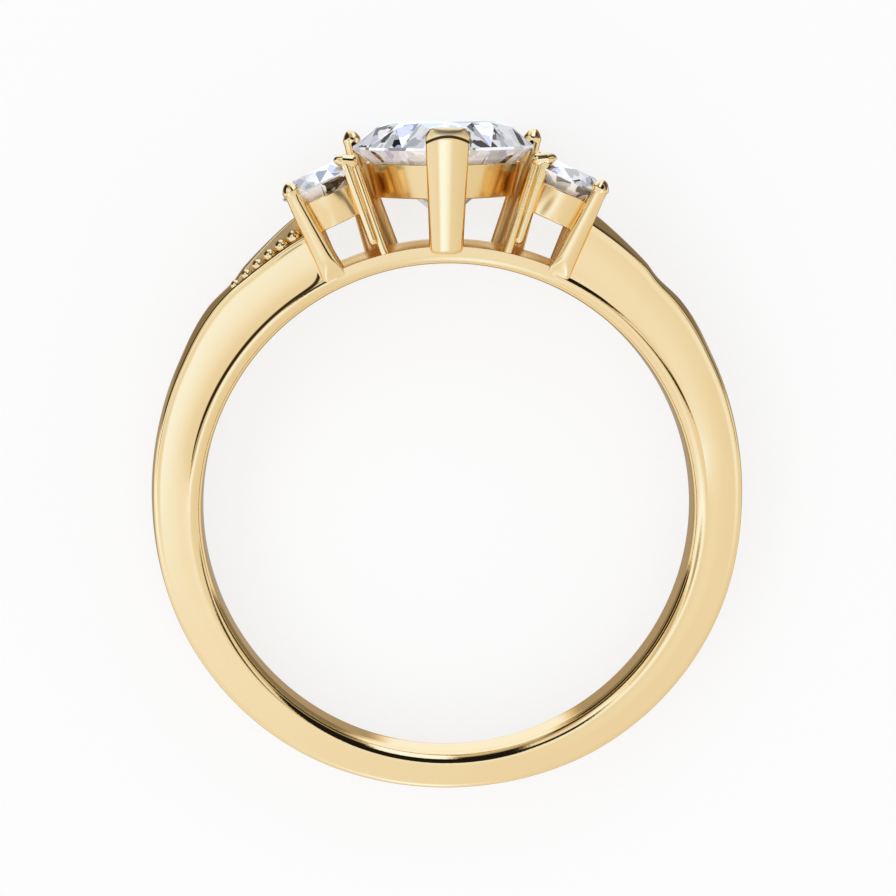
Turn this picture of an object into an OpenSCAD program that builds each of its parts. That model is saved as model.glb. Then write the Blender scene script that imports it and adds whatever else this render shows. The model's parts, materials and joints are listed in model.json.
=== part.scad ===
/* [Finger hole] */
// Inside diameter of the finger hole
hole_d = 17.3; // [15.7:0.1:20.6]
// Rounding between the hole and the band's flat sides
hole_round = 0.42; // [0.2:0.02:0.5]

/* [Band] */
// Width of the band, front to back
band_w = 2.3; // [2:0.1:2.8]
// Thickness of the band at the bottom
bottom_t = 1.24; // [1:0.05:1.5]
// Bevel along the band's outer edges
edge_bevel = 0.14; // [0.05:0.01:0.2]
// Half of the gap that the head bridges, in degrees from the head's middle
shoulder_a = 25; // [24.5:0.25:26]

/* [Beaded shoulders] */
// Angle from the head's middle where the beaded channel closes
channel_end_a = 44.5; // [42:0.5:48]
// Width of the low rail along the channel's outer side
rail_w = 0.2; // [0.15:0.01:0.25]
// Depth of the channel below that rail
channel_depth = 0.14; // [0.1:0.01:0.2]
// Number of beads in one channel
bead_count = 6; // [4:1:7]
// Diameter of the bead next to the head
bead_d = 0.46; // [0.4:0.02:0.5]

/* [Heart stone] */
// Width of the heart-cut stone
heart_w = 6.4; // [6:0.1:6.6]
// Height of its girdle above the middle of the finger hole
heart_y = 12.65; // [12.5:0.05:12.8]
// Crown height, girdle to table
heart_crown = 0.84; // [0.7:0.02:0.95]
// Pavilion depth, girdle to culet
heart_pavilion = 2.5; // [2.2:0.05:2.7]

/* [Side stones] */
// Diameter of each round stone
side_d = 2.9; // [2.7:0.05:3]
// Distance of each round stone from the ring's middle plane
side_x = 4.36; // [4.3:0.01:4.45]
// Height of each round stone's girdle above the middle of the finger hole
side_y = 11.48; // [11.4:0.01:11.55]
// Outward lean of each round stone
side_lean = 25; // [23:0.5:27]

/* [Setting] */
// Diameter of a plain round prong
prong_d = 0.5; // [0.46:0.01:0.52]
// Width of the wide prong over the heart's point, at its top
point_prong_w = 1.52; // [1.3:0.02:1.7]
// Height of the band of metal under the heart
gallery_h = 1.2; // [1:0.05:1.3]
// Clearance between a stone and its seat
seat_gap = 0.03; // [0.02:0.01:0.06]

/* [Hidden] */
$fn = 96;
hole_r = hole_d / 2;
half_w = band_w / 2;
gold = [0.93, 0.79, 0.52];
gem = [0.9, 0.93, 0.98];

// Heart outline in units of its width: two round lobes and two bowed sides that meet in the point.
lobe_x = 0.235;
lobe_y = 0.19;
lobe_r = 0.265;
join_a = -15;
point_y = -0.5;

// Rest: the back of the heart's two lobes and the bottom of the band touch the surface.
heart_girdle = 0.1;
heart_table = 0.6;
lobe_reach = lobe_y + lobe_r;
band_bottom_y = hole_r + bottom_t;
rest_tilt = atan((lobe_reach * heart_w - half_w) / (heart_y - heart_girdle / 2 + band_bottom_y - edge_bevel));
rest_lift = (band_bottom_y - edge_bevel) * sin(rest_tilt) + half_w * cos(rest_tilt);
// The footprint's middle lies this far towards the head from the middle of the finger hole.
table_y = heart_y + heart_girdle / 2 + heart_crown;
head_reach = table_y * cos(rest_tilt) + lobe_reach * heart_table * heart_w * sin(rest_tilt);
foot_reach = band_bottom_y * cos(rest_tilt) + (half_w - edge_bevel) * sin(rest_tilt);
footprint_mid = (head_reach - foot_reach) / 2;

// Band sections: degrees from the head, edge thickness on the low and the high side, crown height.
band_rows = [
  // angle, low, high, crown
  [20, 2.26, 2.74, 0.1],
  [28, 2.23, 2.56, 0.1],
  [36, 2.17, 2.40, 0.12],
  [44.5, 2.18, 2.20, 0.14],
  [50, 2.14, 2.14, 0.26],
  [60, 1.99, 1.99, 0.22],
  [75, 1.79, 1.79, 0.18],
  [90, 1.64, 1.64, 0.14],
  [110, 1.59, 1.59, 0.08],
  [130, 1.48, 1.48, 0.06],
  [150, 1.37, 1.37, 0.05],
  [168, 1.27, 1.27, 0.04],
  [180, bottom_t, bottom_t, 0.04],
  [192, 1.27, 1.27, 0.04]
];

// Catmull-Rom value of one column of a table at angle a, with a in the first column.
function spline(p, u) =
  0.5 * (2 * p[1] + (p[2] - p[0]) * u + (2 * p[0] - 5 * p[1] + 4 * p[2] - p[3]) * u * u
  + (3 * p[1] - p[0] - 3 * p[2] + p[3]) * u * u * u);
function row_at(rows, a, i = 1) = (i >= len(rows) - 3 || a < rows[i + 1][0]) ? i : row_at(rows, a, i + 1);
function at(rows, a, col) =
  let (i = row_at(rows, a), u = (a - rows[i][0]) / (rows[i + 1][0] - rows[i][0]))
  spline([for (k = [-1 : 2]) rows[i + k][col]], u);
function clamp01(v) = min(1, max(0, v));

// The ridge beside the beaded channel starts near the middle and runs out towards the band's edge.
ridge_start_z = 0.22;
ridge_end_z = 0.76;
ridge_start_h = 0.75;
channel_wall = 0.1;
rail_run = 0.05;
slope_bulge = 2.6;
function ridge_u(a) = clamp01((a - shoulder_a) / (channel_end_a - shoulder_a));
function ridge_z(a) = ridge_start_z + (ridge_end_z - ridge_start_z) * ridge_u(a);

// Outer radius at angle a (positive on the left) and distance z towards the viewer.
// The right shoulder is the left one turned half a turn about the head's axis.
function outer_r(a, z) = a < 0
  ? outer_r(-a, -z)
  : hole_r + (a > channel_end_a ? plain_t(a, z) : beaded_t(a, z));
function dome(z) = 1 - pow(z / half_w, 2);
function plain_t(a, z) = at(band_rows, a, 1) + at(band_rows, a, 3) * dome(z);
function beaded_t(a, z) =
  let (
    low = at(band_rows, a, 1),
    high = at(band_rows, a, 2),
    crown = at(band_rows, a, 3),
    u = ridge_u(a),
    zr = ridge_z(a),
    top = low + ridge_start_h * (1 - u) + crown * dome(zr) * u
  )
  z <= zr
    ? let (v = (z + half_w) / (zr + half_w)) high + (top - high) * v + crown * slope_bulge * v * (1 - v)
    : z > half_w - rail_w - rail_run / 2 ? low : low - channel_depth * (1 - u * u * u);

// Places across the band, back edge to front edge, with points on both shoulders' channel lines.
function channel_z(a) = [
  half_w - edge_bevel,
  half_w - rail_w,
  half_w - rail_w - rail_run,
  ridge_z(a) + channel_wall,
  ridge_z(a)
];
function line_z(a) =
  let (front = channel_z(a < 0 ? channel_end_a : a), back = channel_z(a < 0 ? -a : channel_end_a))
  concat(
    [for (z = back) -z],
    [for (k = [1 : 4]) -back[4] + (front[4] + back[4]) * k / 5],
    [for (k = [4 : -1 : 0]) front[k]]
  );
function ring_pt(a, r, z) = [-r * sin(a), r * cos(a), z];
// One cross section, from inside the hole's wall over the outside and back again.
sunk_r = hole_r - 0.6;
function section(turn) =
  let (a = turn > 180 ? turn - 360 : turn)
  concat(
    [ring_pt(a, sunk_r, -half_w), ring_pt(a, outer_r(a, -half_w) - edge_bevel, -half_w)],
    [for (z = line_z(a)) ring_pt(a, outer_r(a, z), z)],
    [ring_pt(a, outer_r(a, half_w) - edge_bevel, half_w), ring_pt(a, sunk_r, half_w)]
  );

// Sections stand close together on the shoulders and further apart round the bottom.
shoulder_steps = [for (k = [0 : 12]) shoulder_a + 2.25 * k];
band_steps = concat(
  shoulder_steps,
  [for (a = [56 : 4 : 304]) a],
  [for (k = [12 : -1 : 0]) 360 - shoulder_steps[k]]
);

// Closed skin over a list of equal rings of points.
module skin(rings) {
  n = len(rings[0]);
  m = len(rings);
  polyhedron(
    points = [for (ring = rings) each ring],
    faces = concat(
      [[for (k = [n - 1 : -1 : 0]) k]],
      [for (i = [0 : m - 2], k = [0 : n - 1]) each [
        [i * n + k, i * n + (k + 1) % n, (i + 1) * n + (k + 1) % n],
        [i * n + k, (i + 1) * n + (k + 1) % n, (i + 1) * n + k]
      ]],
      [[for (k = [0 : n - 1]) (m - 1) * n + k]]
    )
  );
}

module band() {
  skin([for (a = band_steps) section(a)]);
}

// Bead k of a channel, shrinking as the channel narrows.
bead_first_a = 28.9;
bead_pitch_a = 2.75;
bead_shrink = 0.075;
bead_rise = 0.36;
module beads() {
  for (side = [0, 1], k = [0 : bead_count - 1]) {
    a = bead_first_a + k * bead_pitch_a;
    d = bead_d * (1 - bead_shrink * k);
    z = (ridge_z(a) + channel_wall + half_w - rail_w) / 2;
    rotate([0, 180 * side, 0])
      translate(ring_pt(a, hole_r + at(band_rows, a, 1) - channel_depth + d * bead_rise, z))
        sphere(d = d, $fn = 10);
  }
}

// Bar under the head, roof-shaped above and round with the hole below.
bridge_lip_t = 0.34;
bridge_ridge_t = 0.82;
bridge_ridge_w = 0.7;
module bridge() {
  bridge_a = shoulder_a + 1.5;
  bridge_half_w = half_w - 0.02;
  sunk = 0.3;
  rotate([0, 0, 90 - bridge_a])
    rotate_extrude(angle = 2 * bridge_a, $fn = 120)
      polygon([
        [hole_r - sunk, -bridge_half_w],
        [hole_r + bridge_lip_t, -bridge_half_w],
        [hole_r + bridge_ridge_t, -bridge_ridge_w / 2],
        [hole_r + bridge_ridge_t, bridge_ridge_w / 2],
        [hole_r + bridge_lip_t, bridge_half_w],
        [hole_r - sunk, bridge_half_w]
      ]);
}

// Round rod with domed ends, from point a to point b, where its diameters are da and db.
module rod(a, b, da, db) {
  v = b - a;
  translate(a)
    rotate([0, acos(v[2] / norm(v)), atan2(v[1], v[0])]) {
      cylinder(d1 = da, d2 = db, h = norm(v), $fn = 12);
      sphere(d = da, $fn = 12);
      translate([0, 0, norm(v)]) sphere(d = db, $fn = 12);
    }
}
function mirror_x(p, side) = [side * p[0], p[1], p[2]];

// Bars of the right-hand prongs: the diameter at the foot and at the top as shares of prong_d, foot, and top.
prong_rows = [
  // foot share, top share, foot, top
  [1.84, 1.08, [4.03, 8.5, 0.85], [5.41, 11.27, 1.15]],
  [0.92, 0.92, [3.95, 8.6, 0.62], [5.22, 11.28, 0.8]],
  [1, 1, [3.96, 8.55, -0.95], [5.1, 11.3, -1.2]],
  [0.72, 0.68, [2.05, 8.75, 0.9], [3.22, 12.3, 0.7]],
  [0.64, 0.68, [2.56, 9.5, 1], [3.42, 12.3, 0.85]],
  [0.8, 0.84, [3.3, 12.3, 0.75], [3.62, 12.4, 0.82]],
  [0.88, 0.8, [2.05, 8.75, -0.9], [3.3, 12.3, -0.7]],
  [1, 0.88, [2.5, 8.8, -0.95], [3.42, 12.1, -0.85]],
  [1.24, 1.24, [1.84, 8.95, -0.82], [3.1, 12.4, -2.05]],
  [1.24, 1.16, [3.1, 12.4, -2.05], [3.24, 12.98, -2.15]]
];
module prongs() {
  for (side = [-1, 1], row = prong_rows)
    rod(mirror_x(row[2], side), mirror_x(row[3], side), row[0] * prong_d, row[1] * prong_d);
}

// Wide prong that covers the heart's point.
point_prong_t = 0.56;
point_prong_foot_w = 1.18;
// Rows: width, height and distance towards the viewer of the rounded corners' middles, foot and top.
point_prong_rows = [
  // width, height, z
  [point_prong_foot_w, 9.26, 1.16],
  [point_prong_w, 13.15, 3.2]
];
module point_prong() {
  hull()
    for (row = point_prong_rows, s = [-1, 1])
      translate([s * (row[0] - point_prong_t) / 2, row[1], row[2]]) sphere(d = point_prong_t, $fn = 16);
}

// The bowed side is one arc that leaves the lobe smoothly and ends in the point.
function dir(a) = [cos(a), sin(a)];
join_dir = dir(join_a);
join_pt = [lobe_x, lobe_y] + lobe_r * join_dir;
from_point = join_pt - [0, point_y];
side_r = (from_point * from_point) / (2 * from_point * join_dir);
side_c = join_pt - side_r * join_dir;
cleft_a = acos(-lobe_x / lobe_r);
tip_a = atan2(point_y - side_c[1], 0 - side_c[0]);
// Right half of the outline, u from 0 at the cleft to 1 at the point.
lobe_share = 0.55;
function heart_half(u) = u < lobe_share
  ? [lobe_x, lobe_y] + lobe_r * dir(cleft_a + (join_a - cleft_a) * u / lobe_share)
  : side_c + side_r * dir(join_a + (tip_a - join_a) * (u - lobe_share) / (1 - lobe_share));
// Whole outline, u from 0 to 1 once round, clockwise from the cleft.
function heart_at(u) = u <= 0.5 ? heart_half(2 * u) : let (p = heart_half(2 - 2 * u)) [-p[0], p[1]];
function round_at(u) = 0.5 * [sin(360 * u), cos(360 * u)];

// Brilliant cut over any outline, table up along +Z, girdle middle at z = 0.
// Kite facets run from the table to the girdle, star facets between them, long facets below to the culet.
function gem_ring(outline, n, shift, k, c) = [
  for (i = [0 : n - 1]) c + (outline(((i + shift) / n) % 1) - c) * k
];
function at_height(ring, w, z) = [for (p = ring) [p[0] * w, p[1] * w, z]];
star_spread = 0.46;
star_rise = 0.6;
long_k = 0.24;
long_drop = 0.78;
module brilliant(outline, size, mains, fine, c, table, crown, pavilion, girdle, grow = 0) {
  w = size + 2 * grow;
  per_main = 2 * fine;
  n = mains * per_main;
  rim_z = girdle / 2 + grow;
  rim = gem_ring(outline, n, 0, 1, c);
  star_k = table + (1 - table) * star_spread;
  points = concat(
    at_height(gem_ring(outline, mains, 0, table, c), w, rim_z + crown),
    at_height(gem_ring(outline, mains, 0.5, star_k, c), w, rim_z + crown * star_rise),
    at_height(rim, w, rim_z),
    at_height(rim, w, -rim_z),
    at_height(gem_ring(outline, mains, 0.5, long_k, c), w, -rim_z - pavilion * long_drop),
    at_height([c], w, -rim_z - pavilion)
  );
  star0 = mains;
  upper0 = 2 * mains;
  lower0 = upper0 + n;
  long0 = lower0 + n;
  culet = long0 + mains;
  faces = concat(
    [[for (i = [0 : mains - 1]) i]],
    [for (i = [0 : mains - 1])
      let (next = (i + 1) % mains, last = (i + mains - 1) % mains, g = i * per_main)
      each concat(
        [[next, i, star0 + i], [i, star0 + last, upper0 + g], [i, upper0 + g, star0 + i]],
        [for (k = [0 : per_main - 1]) [star0 + i, upper0 + g + k, upper0 + (g + k + 1) % n]],
        [for (k = [0 : per_main - 1]) [long0 + i, lower0 + (g + k + 1) % n, lower0 + g + k]],
        [[long0 + i, lower0 + g, culet], [long0 + last, culet, lower0 + g]]
      )],
    [for (k = [0 : n - 1])
      let (q = (k + 1) % n)
      each [[upper0 + k, lower0 + k, lower0 + q], [upper0 + k, lower0 + q, upper0 + q]]]
  );
  polyhedron(points = points, faces = faces);
}

heart_mains = 12;
heart_c = [0, 0.02];
module heart_gem(grow = 0) {
  translate([0, heart_y, 0])
    rotate([-90, 0, 0])
      brilliant(
        function (u) heart_at(u), heart_w, heart_mains, 2, heart_c,
        heart_table, heart_crown, heart_pavilion, heart_girdle, grow
      );
}
side_mains = 8;
side_table = 0.57;
side_crown = side_d * 0.145;
side_pavilion = side_d * 0.42;
side_girdle = 0.06;
module round_gem(grow = 0) {
  brilliant(
    function (u) round_at(u), side_d, side_mains, 2, [0, 0],
    side_table, side_crown, side_pavilion, side_girdle, grow
  );
}

// Puts a child drawn along +Z on the seat of a side stone: side is 1 on the right, -1 on the left.
module on_side(side) {
  translate([side * side_x, side_y, 0])
    rotate([0, 0, -side * side_lean])
      rotate([-90, 0, 0])
        children();
}

// Band of metal under the heart: the outline drawn in towards its foot, with a straight wall inside.
// Its point is cut off flat inside the wide prong.
gallery_top = heart_y - 0.52;
gallery_wall = 0.3;
gallery_sides = 56;
gallery_front = 0.44;
function heart_loop(k, y) = [
  for (i = [0 : gallery_sides - 1])
    let (p = heart_at(i / gallery_sides), w = k * heart_w)
    [p[0] * w, y, min(-p[1], gallery_front) * w]
];
module gallery() {
  top_k = 0.9;
  foot_k = 0.78;
  inset = 2 * gallery_wall / heart_w;
  foot_y = gallery_top - gallery_h;
  difference() {
    skin([heart_loop(foot_k, foot_y), heart_loop(top_k, gallery_top)]);
    skin([heart_loop(foot_k - inset, foot_y - 0.1), heart_loop(top_k - inset, gallery_top + 0.1)]);
  }
}

// Ring of metal under a side stone.
side_rail_top = -0.42;
side_rail_h = 1.12;
side_rail_r = 1.36;
side_rail_wall = 0.32;
side_rail_draw = 0.12;
module side_rail() {
  rotate([0, 0, 4])
    rotate_extrude($fn = 30)
      polygon([
        [side_rail_r - side_rail_draw - side_rail_wall, side_rail_top - side_rail_h],
        [side_rail_r - side_rail_draw, side_rail_top - side_rail_h],
        [side_rail_r, side_rail_top],
        [side_rail_r - side_rail_wall, side_rail_top]
      ]);
}

// Finger hole with its rounded mouths, cut from everything at once.
module finger_hole() {
  past = 0.5;
  cylinder(r = hole_r, h = band_w + 4 * past, center = true);
  for (s = [0, 1])
    mirror([0, 0, s])
      rotate_extrude()
        difference() {
          translate([hole_r - past, half_w - hole_round]) square(past + hole_round);
          translate([hole_r + hole_round, half_w - hole_round]) circle(r = hole_round);
          translate([hole_r + hole_round, half_w - hole_round]) square(2 * past);
        }
}

// Everything is modelled upright round the finger hole's axis, then laid on its back.
module lay_down() {
  translate([0, -footprint_mid, rest_lift]) rotate([rest_tilt, 0, 0]) children();
}

// The casting is one closed skin of small flats, with the stones' seats cut in it.
module casting() {
  resize([0, 0, 0])
    difference() {
      union() {
        band();
        beads();
        bridge();
        prongs();
        point_prong();
        gallery();
        on_side(1) side_rail();
        on_side(-1) side_rail();
      }
      heart_gem(seat_gap);
      on_side(1) round_gem(seat_gap);
      on_side(-1) round_gem(seat_gap);
    }
}

module gold_mount() {
  color(gold)
    lay_down()
      difference() {
        casting();
        finger_hole();
      }
}

module heart_stone() {
  color(gem) lay_down() heart_gem();
}

module left_stone() {
  color(gem) lay_down() on_side(-1) round_gem();
}

module right_stone() {
  color(gem) lay_down() on_side(1) round_gem();
}

gold_mount();
heart_stone();
left_stone();
right_stone();
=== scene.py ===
import bpy
import json
import math
import numpy as np
from mathutils import Matrix


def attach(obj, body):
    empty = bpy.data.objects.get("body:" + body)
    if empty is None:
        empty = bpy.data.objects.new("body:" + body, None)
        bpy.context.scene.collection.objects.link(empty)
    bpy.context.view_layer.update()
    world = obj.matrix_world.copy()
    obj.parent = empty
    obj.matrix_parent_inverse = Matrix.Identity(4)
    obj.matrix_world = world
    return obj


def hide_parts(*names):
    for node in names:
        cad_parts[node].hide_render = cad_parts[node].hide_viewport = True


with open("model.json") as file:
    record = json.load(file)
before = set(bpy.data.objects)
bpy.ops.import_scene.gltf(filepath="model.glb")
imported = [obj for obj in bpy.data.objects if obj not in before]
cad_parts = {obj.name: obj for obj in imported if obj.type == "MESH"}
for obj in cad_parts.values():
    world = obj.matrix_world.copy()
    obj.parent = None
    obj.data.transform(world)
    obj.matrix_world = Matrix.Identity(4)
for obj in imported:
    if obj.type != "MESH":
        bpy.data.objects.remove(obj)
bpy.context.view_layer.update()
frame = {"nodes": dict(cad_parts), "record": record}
print("frame loaded:", ", ".join(sorted(frame["nodes"])))

# The ring's own axes run across it, towards the head and along the finger hole.
# Everything below is worked out in millimetres on those axes, and placed() takes it to the frame.
fingerHole = next(m for m in frame["record"]["mounts"] if m["name"] == "finger_hole")
holeAxis = np.array(fingerHole["axis"])
across = np.array([1.0, 0.0, 0.0])
ringAxes = np.array([across, np.cross(holeAxis, across), holeAxis])
ringCentre = np.array(fingerHole["pos_m"])
holeR = fingerHole["dims"]["r_mm"]
mm = 0.001


def placed(points):
    # centre of the hole, plus each coordinate along its axis
    return ringCentre + (np.asarray(points, float) @ ringAxes) * mm


# Camera: it looks along the finger hole, from a little above on the head's side.
cameraSettings = {
    "distance": 125.0,
    "pitch": 6.05,
    "yaw": -2.0,
    "roll": 0.5,
    "frame": 896,
    "pixelsPerMm": 28.25,
    "holeAt": (447.5, 506.5),
    "sensor": 36.0,
    # nearest and furthest that it sees, in metres
    "clip": (0.005, 5.0),
}


def turn(degrees, plane):
    # rotation matrix that turns the first axis of the plane towards the second
    c, s = math.cos(math.radians(degrees)), math.sin(math.radians(degrees))
    m = np.eye(3)
    i, j = plane
    m[i, i], m[i, j], m[j, i], m[j, j] = c, -s, s, c
    return m


def makeCamera(cs):
    # The offset puts the hole's middle at its place in the picture. The focal length is pixels per mm times
    # the distance, over the frame's pixels, times the sensor's width.
    rotation = turn(cs["roll"], (0, 1)) @ turn(cs["pitch"], (1, 2)) @ turn(cs["yaw"], (0, 2))
    middle = cs["frame"] / 2
    offset = np.array([
        (cs["holeAt"][0] - middle) / cs["pixelsPerMm"],
        (middle - cs["holeAt"][1]) / cs["pixelsPerMm"],
        0.0,
    ])
    eye = rotation.T @ (np.array([0.0, 0.0, cs["distance"]]) - offset)
    data = bpy.data.cameras.new("camera")
    data.sensor_width = cs["sensor"]
    data.lens = cs["pixelsPerMm"] * cs["distance"] / cs["frame"] * cs["sensor"]
    data.clip_start, data.clip_end = cs["clip"]
    camera = bpy.data.objects.new("camera", data)
    matrix = Matrix(((rotation @ ringAxes).T).tolist()).to_4x4()
    matrix.translation = placed(eye).tolist()
    camera.matrix_world = matrix
    bpy.context.scene.collection.objects.link(camera)
    bpy.context.scene.camera = camera


makeCamera(cameraSettings)
print("camera placed")


# Shells: a shell is its points, its four-sided faces and its three-sided faces.

def gridFaces(nu, nv, closed):
    # face (i, j) joins the points j and j + 1 of the rings i and i + 1; a closed path joins its last ring
    # to its first
    i, j = np.meshgrid(np.arange(nu - (not closed)), np.arange(nv), indexing="ij")
    k, m = (i + 1) % nu, (j + 1) % nv
    return np.stack([i * nv + j, k * nv + j, k * nv + m, i * nv + m], -1).reshape(-1, 4)


def outward(points, quads, tris):
    # the volume that the faces span with the hole's middle is positive when they look outwards
    flat = np.vstack([quads[:, :3], quads[:, [0, 2, 3]], tris])
    a, b, c = (points[flat[:, k]] for k in range(3))
    if np.einsum("ij,ij->i", a, np.cross(b, c)).sum() < 0:
        quads, tris = quads[:, ::-1], tris[:, ::-1]
    return points, quads, tris


def shell(grid, closed=False):
    # Rings of points joined by quads. Unless the path is closed, fans to their middles close the first and
    # the last ring.
    nu, nv = grid.shape[:2]
    points = grid.reshape(-1, 3)
    quads = gridFaces(nu, nv, closed)
    tris = np.zeros((0, 3), int)
    if not closed:
        j = np.arange(nv)
        k = (j + 1) % nv
        first, last = np.full(nv, nu * nv), np.full(nv, nu * nv + 1)
        tris = np.vstack([
            np.stack([first, k, j], -1),
            np.stack([last, (nu - 1) * nv + j, (nu - 1) * nv + k], -1),
        ])
        points = np.vstack([points, grid[0].mean(0), grid[-1].mean(0)])
    return outward(points, quads, tris)


def makePiece(name, shells, material, node, sharpAngle=40.0, shadeAndSatinAt=None, shifts=None):
    # One mesh from all shells, smooth but for edges that bend more than sharpAngle, or flat if that is 0.
    # Its function gives the points' painted shade and satin: above 0 in a painted dark crease line, how
    # satin, and how much painted recess shade deepens the gold.
    # shifts gives each face's shift of the stone's painted reflection pattern.
    starts = np.cumsum([0] + [len(s[0]) for s in shells])
    faces = []
    for start, (_, quads, tris) in zip(starts, shells):
        faces += (quads + start).tolist() + (tris + start).tolist()
    mesh = bpy.data.meshes.new(name)
    mesh.from_pydata(placed(np.vstack([s[0] for s in shells])), [], faces)
    mesh.polygons.foreach_set("use_smooth", [sharpAngle > 0] * len(faces))
    if sharpAngle > 0:
        mesh.set_sharp_from_angle(angle=math.radians(sharpAngle))
    mesh.materials.append(material)
    mesh.validate()
    if shadeAndSatinAt:
        crease, satin, recess = shadeAndSatinAt(np.vstack([s[0] for s in shells]))
        wear = np.zeros((len(mesh.vertices), 3), np.float32)
        wear[:, 0], wear[:, 1], wear[:, 2] = crease, satin, recess
        mesh.attributes.new("wear", "FLOAT_VECTOR", "POINT").data.foreach_set("vector", wear.ravel())
    if shifts is not None:
        mesh.attributes.new("facet", "FLOAT_VECTOR", "FACE").data.foreach_set("vector", shifts.ravel())
    piece = bpy.data.objects.new(name, mesh)
    bpy.context.scene.collection.objects.link(piece)
    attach(piece, "root")
    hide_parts(node)
    print("piece", name, len(faces), "faces")


def roundCorners(corners, radius, steps=5, most=0.45):
    # Each corner of a closed outline becomes a quadratic curve from one side to the next. Its ends lie
    # radius away from the corner, or the share most of the shorter side if that is less.
    p = np.asarray(corners, float)
    before, after = np.roll(p, 1, 0) - p, np.roll(p, -1, 0) - p
    beforeL, afterL = np.linalg.norm(before, axis=1), np.linalg.norm(after, axis=1)
    reach = np.minimum(radius, most * np.minimum(beforeL, afterL))
    start = p + before * (reach / beforeL)[:, None]
    end = p + after * (reach / afterL)[:, None]
    t = np.linspace(0, 1, steps)[None, :, None]
    curve = start[:, None] * (1 - t) ** 2 + 2 * p[:, None] * t * (1 - t) + end[:, None] * t ** 2
    return curve.reshape(-1, 2)


# Materials

class Wire:
    # an output of a node; arithmetic on it adds Math nodes to its material
    def __init__(self, shading, socket):
        self.shading, self.socket = shading, socket

    def math(self, operation, first, second):
        return self.shading.node("ShaderNodeMath", {"operation": operation}, {0: first, 1: second})

    def __add__(self, other):
        return self.math("ADD", self, other)

    def __mul__(self, other):
        return self.math("MULTIPLY", self, other)

    def __pow__(self, other):
        return self.math("POWER", self, other)

    __radd__ = __add__
    __rmul__ = __mul__


class Shading:
    # the nodes of one material
    def __init__(self, name):
        self.material = bpy.data.materials.new(name)
        self.material.use_nodes = True
        self.tree = self.material.node_tree
        self.tree.nodes.clear()

    def node(self, kind, settings=None, inputs=None, out=0):
        made = self.tree.nodes.new(kind)
        for key, value in (settings or {}).items():
            if key == "stops":
                ramp = made.color_ramp
                ramp.interpolation = "CONSTANT"
                while len(ramp.elements) < len(value):
                    ramp.elements.new(1.0)
                for stop, (place, colour) in zip(ramp.elements, value):
                    stop.position, stop.color = place, colour
            else:
                setattr(made, key, value)
        for key, value in (inputs or {}).items():
            if isinstance(value, Wire):
                self.tree.links.new(value.socket, made.inputs[key])
            else:
                made.inputs[key].default_value = value
        return Wire(self, made.outputs[out]) if len(made.outputs) else made

    def inMm(self):
        # the place on the piece in millimetres
        place = self.node("ShaderNodeTexCoord", out="Object")
        return self.node("ShaderNodeVectorMath", {"operation": "SCALE"}, {0: place, "Scale": 1 / mm})

    def noise(self, place, scale, detail):
        return self.node("ShaderNodeTexNoise", None, {"Vector": place, "Scale": scale, "Detail": detail})

    def mixColour(self, factor, a, b):
        return self.node("ShaderNodeMix", {"data_type": "RGBA"}, {0: factor, 6: a, 7: b}, out=2)

    def finish(self, surface):
        self.node("ShaderNodeOutputMaterial", None, {"Surface": surface})
        return self.material


goldSettings = {
    "light": (0.95, 0.70, 0.34, 1.0),
    "deep": (0.94, 0.67, 0.31, 1.0),
    "edge": (1.0, 0.82, 0.55, 1.0),
    "roughness": 0.045,
    "smudge": 0.05,
    "smudgeScale": 0.5,
    "smudgeDetail": 3.0,
    "grainScale": 9.0,
    "grainDetail": 4.0,
    "grainBump": 0.012,
    "grainDepth": 0.1,
    # painted shade: the near-black of the dark lines in the band's creases, along its rail and under the
    # point prong's cap
    "crease": (0.06, 0.03, 0.008, 1.0),
    # the painted shade value at which a crease line is fully dark
    "creaseFull": 0.5,
    # painted shade: the deeper gold of the far prongs, the bridge's slopes and the side collars
    "recess": (1.0, 0.62, 0.24, 1.0),
    "satin": 0.27,
}


def goldMaterial(gs):
    # Polished gold. Its roughness is a base, plus smudge times the clouds squared times the grain, plus
    # satin times the points' own satin.
    s = Shading("yellowGold")
    place = s.inMm()
    cloudy = s.noise(place, gs["smudgeScale"], gs["smudgeDetail"])
    grain = s.noise(place, gs["grainScale"], gs["grainDetail"])
    bump = s.node("ShaderNodeBump", None, {
        "Strength": gs["grainBump"],
        "Distance": gs["grainDepth"] * mm,
        "Height": grain,
    })
    wear = s.node("ShaderNodeAttribute", {"attribute_name": "wear"}, out="Vector")
    crease = s.node("ShaderNodeSeparateXYZ", None, {"Vector": wear}, out="X")
    satin = s.node("ShaderNodeSeparateXYZ", None, {"Vector": wear}, out="Y")
    recess = s.node("ShaderNodeSeparateXYZ", None, {"Vector": wear}, out="Z")
    # painted shade: the third value deepens the gold where shade falls, and the first darkens it to near
    # black in the crease lines
    dark = s.node("ShaderNodeMapRange", {"interpolation_type": "SMOOTHSTEP"}, {
        "Value": crease,
        "From Max": gs["creaseFull"],
    })
    toneWithRecessShade = s.mixColour(recess, s.mixColour(cloudy, gs["light"], gs["deep"]), gs["recess"])
    surface = s.node("ShaderNodeBsdfPrincipled", None, {
        "Base Color": s.mixColour(dark, toneWithRecessShade, gs["crease"]),
        "Metallic": 1.0,
        "Specular Tint": gs["edge"],
        "Roughness": gs["roughness"] + gs["smudge"] * (cloudy ** 2.0) * grain + gs["satin"] * satin,
        "Normal": bump,
    })
    return s.finish(surface)


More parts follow.
